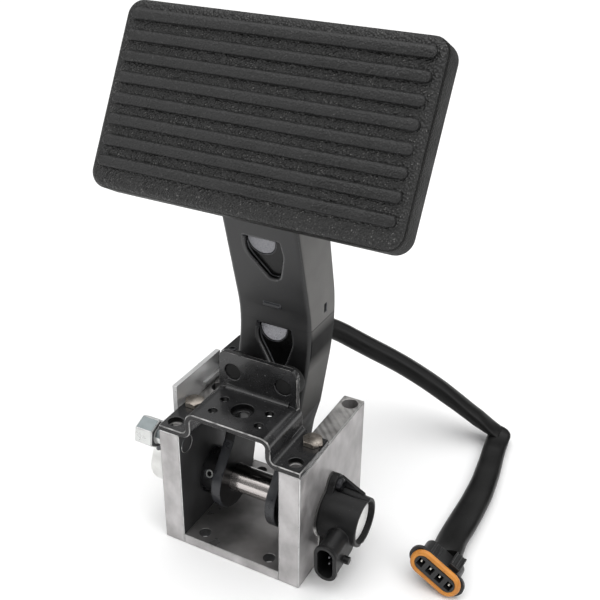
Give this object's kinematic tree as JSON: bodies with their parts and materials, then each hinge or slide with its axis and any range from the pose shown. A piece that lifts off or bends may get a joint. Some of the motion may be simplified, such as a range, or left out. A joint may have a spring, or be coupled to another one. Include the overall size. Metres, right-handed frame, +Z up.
{
  "type": "brake pedal",
  "caption": "Floor-standing brake pedal: ribbed rubber pad on a black channel arm, pivoting in an open aluminium box with return spring, rotary position sensor, stop switch and cable.",
  "frame": {"origin": "centre of the four base holes, on the underside of the box", "axes": "+X along the pivot shaft to the sensor side, +Y away from the driver, +Z up"},
  "size_m": [0.2086, 0.1852, 0.2879],
  "materials": {
    "machined_aluminium": "milled, satin",
    "strap_aluminium": "satin sheet",
    "black_sheet": "gloss black paint",
    "black_arm": "satin black paint, moulded look",
    "grey_steel": "plain sheet",
    "polished_steel": "ground shaft",
    "turned_steel": "turned",
    "black_steel": "blackened",
    "zinc_steel": "bright zinc plate",
    "nickel_steel": "warm plated fastener",
    "spring_steel": "oiled spring wire",
    "bronze": "sintered bush",
    "contact_brass": "tinned contact",
    "pad_rubber": "pebble grain",
    "bumper_rubber": "smooth",
    "gasket_grey": "grey sheet gasket",
    "black_plastic": "fine moulded grain",
    "label_white": "blank sticker",
    "seal_orange": "orange-brown seal",
    "cable_black": "soft cable sleeve"
  },
  "bodies": {
    "base": {"left_side_plate": "machined_aluminium", "right_side_plate": "machined_aluminium", "base_plate": "machined_aluminium", "base_screws": "turned_steel", "top_bracket": "black_sheet", "bracket_bolts": "nickel_steel", "bracket_weld_nut": "black_sheet", "stop_bumper_left": "bumper_rubber", "stop_bumper_right": "bumper_rubber", "left_bush": "bronze", "right_bush": "bronze", "spring_cup": "zinc_steel", "return_spring": "spring_steel", "spring_anchor_bolt": "zinc_steel", "sensor_gasket": "gasket_grey", "sensor_housing": "black_plastic", "sensor_screws": "black_steel", "sensor_label": "label_white", "sensor_pins": "contact_brass", "switch_bracket": "strap_aluminium", "switch_bracket_screws": "zinc_steel", "switch_body": "black_plastic", "switch_screws": "zinc_steel", "cable_gland": "black_plastic", "cable": "cable_black", "connector_body": "black_plastic", "connector_seal": "seal_orange", "connector_terminals": "contact_brass", "connector_lock": "black_plastic"},
    "pedal": {"pedal_arm": "black_arm", "arm_inner_plate": "grey_steel", "pad_backing_plate": "black_sheet", "pad_rubber": "pad_rubber", "pivot_shaft": "polished_steel", "left_collar": "black_steel", "right_collar": "black_steel", "collar_set_screws": "zinc_steel", "sensor_rotor": "black_plastic", "spring_arbor": "turned_steel"}
  },
  "joints": [
    {"name": "pedal_pivot", "type": "hinge", "parent": "base", "child": "pedal", "pos_m": [0, -0.00715, 0.0314], "axis": [-1, 0, 0], "range_deg": [0, 22], "stiffness_Nm_per_rad": 5, "springref_deg": -28.65}
  ]
}
